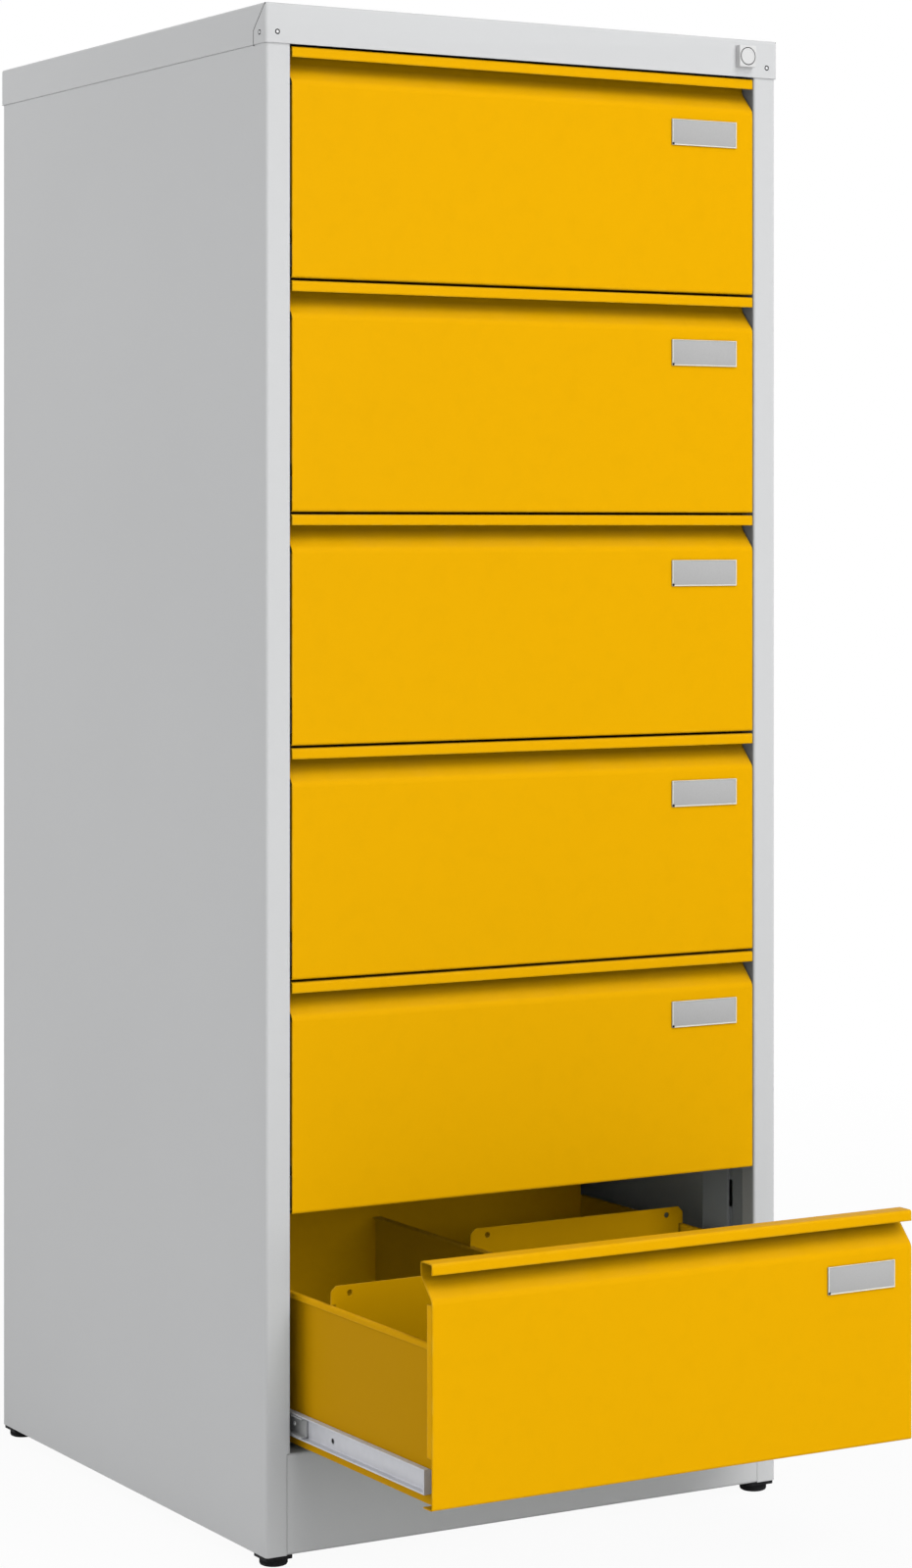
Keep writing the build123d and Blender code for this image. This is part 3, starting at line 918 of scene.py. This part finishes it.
@dataclass
class Lid:
    """The folded lid, whose front corner tabs lie flush in its sides behind a narrow gap."""

    tab_proud: float = 0.8 * MM
    sheet: float = 1.2 * MM
    bend: float = 2.5 * MM
    tab_start: float = 1.6 * MM
    tab_reach: float = 21.5 * MM
    gap: float = 0.8 * MM
    gap_depth: float = 0.5 * MM
    filler_depth: float = 0.6 * MM
    filler_drop: float = 0.12 * MM
    lock_play: float = 0.1 * MM
    hole_depth: float = 3.0 * MM
    beyond: float = 1.0 * MM

    def corners(self) -> tuple[Vector, Vector]:
        """Where the lid's sheet lies, without the tabs' thickness.

        Returns:
            Its lowest and highest corner.
        """
        low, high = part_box("lid")
        inward = Vector((self.tab_proud, 0, 0))
        return low + inward, high - inward

    def pan(self) -> Piece:
        """A block with bent edges, hollowed from below.

        Returns:
            The pan.
        """
        low, high = self.corners()
        pan = add_block(low, high)
        above = low.z + SAME_PLANE
        round_edges(pan, lambda middle, run: middle.z > above, self.bend, segments=5)
        with editing(pan, Pick.FACES, lambda middle, normal: normal.z < -ALONG_AXIS):
            bpy.ops.mesh.inset(thickness=self.sheet)
            draw_out(0, 0, high.z - low.z - self.sheet)
        return pan

    def slanted(self, low: Vector, high: Vector) -> Piece:
        """A block whose top falls by 45 degrees from its front to its back.

        Args:
            low: The block's lowest corner.
            high: Its highest corner.

        Returns:
            The block.
        """
        block = add_block(low, high)
        with editing(
            block, Pick.EDGES, lambda middle, run: (middle - high).yz.length < SAME_PLANE
        ):
            bpy.ops.transform.translate(value=(0, 0, low.y - high.y))
        return block

    def seam(self, depth: float, proud: float) -> Piece:
        """A strip along the front left tab's slanted edge and end, copied to the right.

        Args:
            depth: How far it reaches in from the lid's side.
            proud: How far it stands out from there, less than nothing for a sunk strip.

        Returns:
            Both strips.
        """
        low, high = self.corners()
        outer, inner = low.x - proud, low.x + depth
        front, end, top = low.y + self.tab_start, low.y + self.tab_reach, high.z - self.tab_start
        beyond, rise = self.beyond, self.gap * math.sqrt(2)
        strip = self.slanted(
            Vector((outer, front, low.z - beyond)), Vector((inner, end + self.gap, top + rise))
        )
        core = self.slanted(
            Vector((outer - beyond, front - 2 * beyond, low.z - 2 * beyond)),
            Vector((inner + beyond, end, top + 2 * beyond)),
        )
        cut_out(strip, core)
        return spread(strip, corner_moves((low + high) / 2)[::2])

    def lock_hole(self) -> Piece:
        """The shape to cut out of the lid's front flange for the lock.

        Returns:
            The round cutter.
        """
        seat, radius = lock_place()
        hole = radius + self.lock_play
        back = Vector((seat.x, self.corners()[0].y + self.hole_depth, seat.z))
        steps = ((hole, 0.0), (hole, 2 * self.hole_depth))
        return add_turned(back, Facing.FRONT, steps, sides=48)

    def build(self) -> None:
        """Model the pan, cut its seams and the lock's hole, and lay painted shadow in the seams.
        """
        pan = self.pan()
        cut_out(pan, self.seam(self.gap_depth, self.beyond))
        cut_out(pan, self.lock_hole())
        fit(smooth(pan, degrees=30), "lid_pan", "cabinet", CABINET_GREY, Slot.CABINET_PAINT, "lid")
        # Painted shadow: dark strips sunk in the tabs' seams.
        gaps = self.seam(self.filler_depth, -self.filler_drop)
        fit(gaps, "lid_tab_gap_shadows", "cabinet", GAP_SHADOW, Slot.CABINET_PAINT)


@dataclass
class CornerRivets:
    """Blind rivets near the lid's corners, each with a dark ring of painted shadow in the groove
    round its stem.
    """

    inset: float = 11.0 * MM
    drop: float = 24.0 * MM
    head: Profile = millimetres(
        (1.3, -0.5), (2.75, -0.5), (2.75, 0.02), (2.7, 0.1), (2.55, 0.14), (2.45, 0.1),
        (2.4, -0.1), (1.3, -0.1), (1.25, 0.16), (1.1, 0.24), (0.3, 0.26),
    )
    ring: Profile = millimetres(
        (1.5, -0.3), (2.47, -0.3), (2.47, -0.06), (2.2, 0.04), (1.2, 0.04)
    )

    def moves(self) -> list[Matrix]:
        """Where each rivet sits: at the front, at the back and in the sides near the front.

        Returns:
            The moves from the origin.
        """
        low, high = Lid().corners()
        top = high.z - self.drop
        moves = []
        sides = ((low.x, self.inset, Facing.LEFT), (high.x, -self.inset, Facing.RIGHT))
        for edge, inward, out in sides:
            for y, facing in ((low.y, Facing.FRONT), (high.y, Facing.BACK)):
                moves.append(placing(Vector((edge + inward, y, top)), facing))
            moves.append(placing(Vector((edge, low.y + self.inset, top)), out))
        return moves

    def turned(self, profile: Profile) -> Piece:
        """One turned part, copied to every rivet's place."""
        model = add_turned(Vector(), Facing.UP, profile, sides=32)
        return spread(smooth(model, degrees=50), self.moves())

    def build(self) -> None:
        """Turn one head and one ring of painted shadow and copy them to the corners."""
        heads, rings = self.turned(self.head), self.turned(self.ring)
        fit(heads, "corner_rivets", "cabinet", RIVET_STEEL, Slot.FASTENER_STEEL, "rivets")
        fit(rings, "corner_rivet_ring_shadows", "cabinet", GAP_SHADOW, Slot.FASTENER_STEEL)


def lock_place() -> tuple[Vector, float]:
    """Where the lock sits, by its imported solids.

    Returns:
        The middle of its housing's front plane, and the lock's radius.
    """
    low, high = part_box("lock_housing")
    seat = Vector(((low.x + high.x) / 2, low.y, (low.z + high.z) / 2))
    return seat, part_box("lock_barrel")[1].z - seat.z


@dataclass
class Lock:
    """The bevelled block on the lid's front and the round lock in it.

    The radii of the bore, the face and the dark ring of painted shadow in the gap are steps out
    from the lock's own radius.
    """

    block_bevel: float = 0.3 * MM
    bore: Profile = millimetres((0.75, -1.6), (0.75, 3.4))
    gap: Profile = millimetres(
        (-0.3, -1.55), (0.73, -1.55), (0.73, -0.22), (0.58, -0.15), (-0.2, -0.15)
    )
    face: Profile = millimetres(
        (-0.5, -1.5), (0, -1.5), (0, -0.1), (-0.35, 0.25), (-1.4, 0.25), (-1.7, 0.05)
    )
    dish_radius: float = 0.5 * MM
    slot: Point = (1.0 * MM, 0.56 * MM, 6.0 * MM)
    slot_corner: float = 0.6 * MM

    def turned(self, steps: Profile) -> Piece:
        """A round part at the lock, from steps out from its radius.

        Args:
            steps: Each step's radius beyond the lock's, and its height.

        Returns:
            The part.
        """
        seat, radius = lock_place()
        profile = tuple((radius + out, height) for out, height in steps)
        return add_turned(seat, Facing.FRONT, profile, sides=64)

    def block(self) -> Piece:
        """The housing with its bevelled front and its bore.

        Returns:
            The housing.
        """
        low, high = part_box("lock_housing")
        block = add_block(low, high)
        round_edges(
            block, lambda middle, run: middle.y < low.y + SAME_PLANE or abs(run.y) > ALONG_AXIS,
            self.block_bevel, segments=3,
        )
        cut_out(block, self.turned(self.bore))
        return smooth(block, degrees=40)

    def dished_face(self) -> Piece:
        """The lock's dished face with its shuttered key slot.

        Returns:
            The face.
        """
        seat, radius = lock_place()
        middle = (self.dish_radius - radius, self.face[-1][1])
        face = self.turned((*self.face, middle))
        half = Vector(self.slot) / 2
        key = add_block(seat - half, seat + half)
        round_edges(
            key, lambda middle, run: abs(run.y) > ALONG_AXIS, self.slot_corner, segments=3
        )
        cut_out(face, key)
        return smooth(face, degrees=30)

    def build(self) -> None:
        """Model the block, the lock's face and a dark ring of painted shadow in the gap between
        them.
        """
        block, face = self.block(), self.dished_face()
        gap = smooth(self.turned(self.gap), degrees=30)
        fit(block, "lock_block", "cabinet", LOCK_GREY, Slot.LOCK_METAL, "lock_housing")
        fit(face, "lock_face", "lock_barrel", LOCK_GREY, Slot.LOCK_METAL)
        fit(gap, "lock_gap_shadow", "cabinet", GAP_SHADOW, Slot.LOCK_METAL)


@dataclass
class Feet:
    """Square corner plates and the glides that screw through them."""

    plate_side: float = 24.5 * MM
    plate_thick: float = 3.2 * MM
    plate_corner: float = 2.0 * MM
    plate_edge: float = 0.4 * MM
    glide_inset: float = 13.0 * MM
    glide: Profile = millimetres(
        (5.0, 0.0), (10.0, 0.0), (11.2, 0.6), (11.8, 1.8), (11.8, 4.7), (11.2, 5.4), (6.0, 5.7)
    )
    grip_radius: float = 11.3 * MM
    grip_low: float = 1.5 * MM
    grip_rim: float = 0.15 * MM
    grip_depth: float = 0.25 * MM
    nut_radius: float = 6.2 * MM
    nut_height: float = 4.0 * MM
    nut_bevel: float = 0.5 * MM
    stud_radius: float = 3.0 * MM
    stud_root: float = 2.55 * MM
    stud_length: float = 16.0 * MM
    thread_pitch: float = 1.6 * MM

    def corner(self) -> Vector:
        """The front left plate's outer corner, at its top under the side panel."""
        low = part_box("feet")[0]
        return Vector((low.x, low.y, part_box("side_panel_left")[0].z))

    def axis(self) -> Vector:
        """The front left glide's middle on the ground."""
        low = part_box("feet")[0]
        return Vector((low.x + self.glide_inset, low.y + self.glide_inset, 0))

    def plate(self) -> Piece:
        """The corner plate with rounded corners and softened edges.

        Returns:
            The plate.
        """
        corner = self.corner()
        low = corner - Vector((0, 0, self.plate_thick))
        plate = add_block(low, corner + Vector((self.plate_side, self.plate_side, 0)))
        round_edges(
            plate, lambda middle, run: abs(run.z) > ALONG_AXIS, self.plate_corner, segments=5
        )
        soften(plate, self.plate_edge)
        return plate

    def turned_glide(self) -> Piece:
        """One glide with a gripping rim, rounded under its edge, and a neck up to its plate.

        Returns:
            The glide.
        """
        axis = self.axis()
        neck = (self.glide[-1][0], self.corner().z - self.plate_thick)
        glide = add_turned(axis, Facing.UP, (*self.glide, neck), sides=48)
        with editing(
            glide, Pick.FACES,
            lambda middle, normal: abs(normal.z) < 1 - ALONG_AXIS and middle.z > self.grip_low
            and (middle - axis).xy.length > self.grip_radius,
        ):
            bpy.ops.mesh.inset(
                thickness=self.grip_rim, depth=-self.grip_depth, use_individual=True
            )
        return glide

    def stud(self) -> Piece:
        """One threaded stud, its thread as rings a pitch apart.

        Returns:
            The stud.
        """
        top = height = self.corner().z
        profile = [(self.stud_root, top)]
        while height < top + self.stud_length:
            profile.append((self.stud_radius, height + self.thread_pitch / 2))
            profile.append((self.stud_root, height + self.thread_pitch))
            height += self.thread_pitch
        return add_turned(self.axis(), Facing.UP, tuple(profile), sides=24)

    def nut(self) -> Piece:
        """One hexagon nut on top of the plate, with bevelled corners.

        Returns:
            The nut.
        """
        low, bevel, radius = self.corner().z, self.nut_bevel, self.nut_radius
        high = low + self.nut_height
        profile = (
            (radius - bevel, low), (radius, low + bevel), (radius, high - bevel),
            (radius - bevel, high),
        )
        return add_turned(self.axis(), Facing.UP, profile, sides=6)

    def build(self) -> None:
        """Model one foot and mirror it to the corners: black plates, plated studs and nuts."""
        low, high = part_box("feet")
        moves = corner_moves((low + high) / 2)
        feet = spread(smooth(join([self.plate(), self.turned_glide()]), degrees=30), moves)
        fit(feet, "foot_plates_and_glides", "cabinet", FOOT_BLACK, Slot.FOOT_PLASTIC, "feet")
        studs = spread(smooth(join([self.nut(), self.stud()]), degrees=20), moves)
        fit(studs, "foot_studs_and_nuts", "cabinet", ZINC, Slot.FASTENER_STEEL)


@dataclass
class LabelHolders:
    """Pressed frames on the drawers' fronts, each with a blank card in it."""

    rim: float = 1.0 * MM
    top_rim: float = 0.6 * MM
    recess: float = 0.7 * MM
    edge: float = 0.16 * MM
    card_thick: float = 0.3 * MM
    card_play: float = 0.2 * MM
    card_edge: float = 0.08 * MM
    hole_radius: float = 1.15 * MM
    hole_inset: float = 1.2 * MM
    hole_back: float = 0.1 * MM
    hole_front: float = 3.0 * MM
    pin_play: float = 0.03 * MM
    pin_edge: float = 0.15 * MM
    pin_core: float = 0.3 * MM
    pin_tip: float = 0.2 * MM
    pin_sink: float = 0.04 * MM
    pin_rise: float = 0.03 * MM

    def first(self) -> tuple[Vector, Vector]:
        """The lowest and the highest corner of the top drawer's holder."""
        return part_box("drawer_1_label_holder")

    def small_round(self, profile: Profile) -> Piece:
        """A round part in the lower left corner of the top drawer's holder.

        Args:
            profile: Its radii and its heights over the holder's back.

        Returns:
            The part.
        """
        low, high = self.first()
        seat = Vector((low.x + self.hole_inset, high.y, low.z + self.hole_inset))
        return add_turned(seat, Facing.FRONT, profile, sides=20)

    def frame(self) -> Piece:
        """A block with a sunk front, a slimmer top rim and a small hole for the pin.

        Returns:
            The frame.
        """
        low, high = self.first()
        frame = add_block(low, high)
        with editing(frame, Pick.FACES, lambda middle, normal: normal.y < -ALONG_AXIS):
            bpy.ops.mesh.inset(thickness=self.rim)
            draw_out(0, self.recess, 0)
        inner_top = high.z - self.rim
        with editing(
            frame, Pick.EDGES,
            lambda middle, run: abs(run.x) > ALONG_AXIS
            and abs(middle.z - inner_top) < SAME_PLANE,
        ):
            bpy.ops.transform.translate(value=(0, 0, self.rim - self.top_rim))
        soften(frame, self.edge)
        radius = self.hole_radius
        cut_out(frame, self.small_round(((radius, self.hole_back), (radius, self.hole_front))))
        return smooth(frame, degrees=40)

    def pin(self) -> Piece:
        """The pin that fixes the frame, flush in the corner hole, dark with painted shadow of the
        hole.

        Returns:
            The pin.
        """
        low, high = self.first()
        radius, edge, front = self.hole_radius - self.pin_play, self.pin_edge, high.y - low.y
        profile = (
            (self.pin_core, edge), (radius, edge), (radius, front - edge),
            (radius - edge, front - self.pin_sink), (self.pin_tip, front + self.pin_rise),
        )
        return smooth(self.small_round(profile), degrees=50)

    def card(self) -> Piece:
        """A blank card, a little short of the frame, with soft edges.

        Returns:
            The card.
        """
        low, high = self.first()
        side = self.rim + self.card_play
        back = low.y + self.recess
        card = add_block(
            Vector((low.x + side, back - self.card_thick, low.z + side)),
            Vector((high.x - side, back, high.z - self.top_rim - self.card_play)),
        )
        soften(card, self.card_edge)
        return smooth(card, degrees=40)

    def build(self) -> None:
        """Model one frame, card and pin and copy them to every drawer."""
        parts = (
            (self.frame(), "label_frame", LABEL_CREAM, True),
            (self.card(), "label_card", LABEL_CARD, False),
            (self.pin(), "label_pin", GAP_SHADOW, False),
        )
        for model, name, finish, stands_in in parts:
            fit_to_drawers(
                model, name, "label_holder", "drawer", finish, Slot.LABEL_METAL, stands_in
            )


@dataclass
class SlideHardware:
    """Screws and eyelets that hold the slides to the trays, and the slides' own rivets."""

    depth: float = 6.8 * MM
    sheet: float = 1.2 * MM
    first_hole: float = 158.6 * MM
    hole_pitch: float = 96.0 * MM
    holes: int = 3
    hole_drop: float = 1.8 * MM
    rivet_inset: float = 20.5 * MM
    member_play: float = 0.4 * MM
    eyelet: Profile = millimetres(
        (1.3, -1.1), (2.35, -1.1), (2.35, -0.2), (3.05, -0.2), (3.1, 0.1), (2.8, 0.2),
        (2.4, 0.05), (2.2, -0.4), (1.3, -0.7),
    )
    screw: Profile = millimetres(
        (1.2, -1.1), (2.15, -0.42), (2.2, -0.25), (1.9, -0.12), (1.1, -0.08), (0.9, -0.6),
        (0.3, -0.6),
    )
    rivet: Profile = millimetres(
        (1.0, -0.6), (2.1, -0.6), (2.1, 0.1), (1.8, 0.4), (1.2, 0.55), (0.3, 0.6)
    )

    def moves(self, sunk: float, drop: float, places: Sequence[float]) -> list[Matrix]:
        """Seats on the outer faces of the first drawer's left and right member.

        Args:
            sunk: How far the faces lie inside the slides' box.
            drop: How far the seats lie below the slides' middle line.
            places: How far back in the cabinet each pair lies.

        Returns:
            The moves from the origin.
        """
        low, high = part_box("drawer_1_slides")
        face, z = high.x - sunk, (low.z + high.z) / 2 - drop
        sides = ((-face, Facing.LEFT), (face, Facing.RIGHT))
        return [placing(Vector((x, y, z)), facing) for y in places for x, facing in sides]

    def build(self) -> None:
        """Turn one of each part and copy it to every drawer's members."""
        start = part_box("drawer_1_slides")[0].y + self.first_hole
        holes = self.moves(
            self.depth - self.sheet, self.hole_drop,
            [start + index * self.hole_pitch for index in range(self.holes)],
        )
        low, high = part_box("drawer_1_middle_slides")
        rivets = self.moves(
            self.depth - 2 * self.sheet - self.member_play, 0.0,
            (low.y + self.rivet_inset, high.y - self.rivet_inset),
        )
        parts = (
            ("slide_eyelets", self.eyelet, holes, ZINC, "slides", "drawer"),
            ("slide_screws", self.screw, holes, DARK_STEEL, "slides", "drawer"),
            ("slide_rivets", self.rivet, rivets, GLINT_RIVET, "middle_slides", "middle_slides"),
        )
        for name, profile, moves, finish, node, body in parts:
            model = smooth(add_turned(Vector(), Facing.UP, profile, sides=24), degrees=45)
            first = spread(model, moves)
            fit_to_drawers(first, name, node, body, finish, Slot.SLIDE_STEEL)


@dataclass
class Drawer:
    """One drawer: its painted sheets and the steel that carries it."""

    number: int
    nodes: dict[str, Piece]

    def build(self) -> None:
        """Dress the drawer's solids."""
        finishes = {
            "front": DRAWER_YELLOW, "box": TRAY_YELLOW, "divider": SHADED_FOLLOWER_YELLOW,
            "follower_left": SHADED_FOLLOWER_YELLOW, "follower_right": SHADED_FOLLOWER_YELLOW,
            "slides": ZINC, "middle_slides": DULL_ZINC,
        }
        for part, finish in finishes.items():
            dress(self.nodes[f"drawer_{self.number}_{part}"], finish)
        log.info("drawer %d dressed", self.number)


@dataclass(frozen=True)
class Lamp:
    """A square soft lamp that faces the middle of the cabinet."""

    name: str
    place: Point
    watts: float
    side: float
    target: Point = (0.0, 0.0, 0.7)

    def build(self) -> None:
        """Hang the lamp."""
        light = bpy.data.lights.new(self.name, "AREA")
        light.energy = self.watts
        light.size = self.side
        lamp = bpy.data.objects.new(self.name, light)
        aim = Vector(self.target) - Vector(self.place)
        lamp.location = self.place
        lamp.rotation_euler = aim.to_track_quat("-Z", "Y").to_euler()
        bpy.context.scene.collection.objects.link(lamp)


@dataclass
class Studio:
    """Pale floor, white surroundings and soft lamps."""

    floor_reach: float = 12.0
    floor_colour: Colour = Colour(212, 212, 212)
    shadow_start: float = 0.78
    shadow_reach: float = 2.6
    near_white: float = 0.95
    sky_strength: float = 0.26
    lamps: tuple[Lamp, ...] = (
        Lamp("key", (2.2, -6.4, 8.8), watts=440.0, side=6.0),
        Lamp("front", (1.0, -6.5, 2.2), watts=188.0, side=4.0),
        Lamp("side", (-7.6, 3.2, 3.6), watts=280.0, side=5.0),
    )

    def floor(self) -> None:
        """A wide floor, shown white apart from the cabinet's shadow."""
        bpy.ops.object.select_all(action="DESELECT")
        bpy.ops.mesh.primitive_plane_add(size=2 * self.floor_reach)
        floor = bpy.context.object
        floor.name = floor.data.name = "floor"
        made = bpy.data.materials.new("floor_white")
        made.use_nodes = True
        wiring = Wiring(made.node_tree)
        matt = wiring.node("BsdfDiffuse", {"Color": self.floor_colour.linear()})
        white = wiring.node("Emission")
        away = wiring.node("VectorMath", {0: wiring.place()}, operation="LENGTH")
        share = wiring.span(
            away.outputs["Value"], (self.shadow_start, self.shadow_reach),
            (self.near_white, 1.0),
        )
        shown = wiring.times(self.seen(wiring), share)
        blend = wiring.node("MixShader", {0: shown, 1: matt.outputs[0], 2: white.outputs[0]})
        wiring.node("OutputMaterial", {"Surface": blend.outputs[0]})
        floor.data.materials.append(made)

    def seen(self, wiring: Wiring) -> Socket:
        """Tell what the camera sees from what only lights the scene.

        Args:
            wiring: The wiring of the material or the world.

        Returns:
            1 for rays from the camera, mirrors and glass, otherwise 0.
        """
        path = wiring.node("LightPath").outputs
        either = wiring.math("MAXIMUM", path["Is Camera Ray"], path["Is Glossy Ray"])
        return wiring.math("MAXIMUM", either, path["Is Transmission Ray"])

    def sky(self) -> None:
        """White all round, dimmer as a light than as a backdrop."""
        world = bpy.data.worlds.new("white_studio")
        world.use_nodes = True
        wiring = Wiring(world.node_tree)
        light = wiring.span(self.seen(wiring), (0.0, 1.0), (self.sky_strength, 1.0))
        white = {"Strength": light, "Color": (1.0, 1.0, 1.0, 1.0)}
        backdrop = wiring.node("Background", white)
        wiring.node("OutputWorld", {"Surface": backdrop.outputs[0]})
        bpy.context.scene.world = world

    def build(self) -> None:
        """Set the floor, the surroundings and the lamps."""
        self.floor()
        self.sky()
        for lamp in self.lamps:
            lamp.build()
        log.info("studio ready")


@dataclass
class PhotoCamera:
    """A level camera with a shifted lens, as worked out from the photograph."""

    frame_height: int = 1600
    focal_pixels: float = 3838.3
    horizon_pixel: float = 538.43
    turn_degrees: float = 30.293
    sensor_width: float = 36.0
    view_reach: float = 100.0
    front_offset: Point = (-1672.65 * MM, -2736.87 * MM, 853.33 * MM)

    def build(self) -> None:
        """Create the camera at its distance from the cabinet's front plane."""
        lens = bpy.data.cameras.new("photo_camera")
        lens.sensor_width = self.sensor_width
        lens.sensor_fit = "AUTO"
        lens.lens = self.sensor_width * self.focal_pixels / self.frame_height
        lens.shift_y = (self.horizon_pixel - self.frame_height / 2) / self.frame_height
        lens.clip_end = self.view_reach
        camera = bpy.data.objects.new("photo_camera", lens)
        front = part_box("side_panel_left")[0].y
        x, y, z = self.front_offset
        camera.location = (x, front + y, z)
        camera.rotation_euler = (math.radians(90), 0, math.radians(-self.turn_degrees))
        bpy.context.scene.collection.objects.link(camera)
        bpy.context.scene.camera = camera
        log.info("camera ready")


def main() -> None:
    """Load the frame and build every sub-assembly, the studio and the camera."""
    logging.basicConfig(level=logging.INFO, format="%(name)s: %(message)s")
    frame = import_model()
    bpy.context.scene.view_settings.view_transform = "Standard"
    for effect in Effect:
        EffectGroup(effect)
    Carcass(frame["nodes"]).build()
    Lid().build()
    CornerRivets().build()
    Lock().build()
    Feet().build()
    for number in DRAWERS:
        Drawer(number, frame["nodes"]).build()
    LabelHolders().build()
    SlideHardware().build()
    Studio().build()
    PhotoCamera().build()


if __name__ == "__main__":
    main()
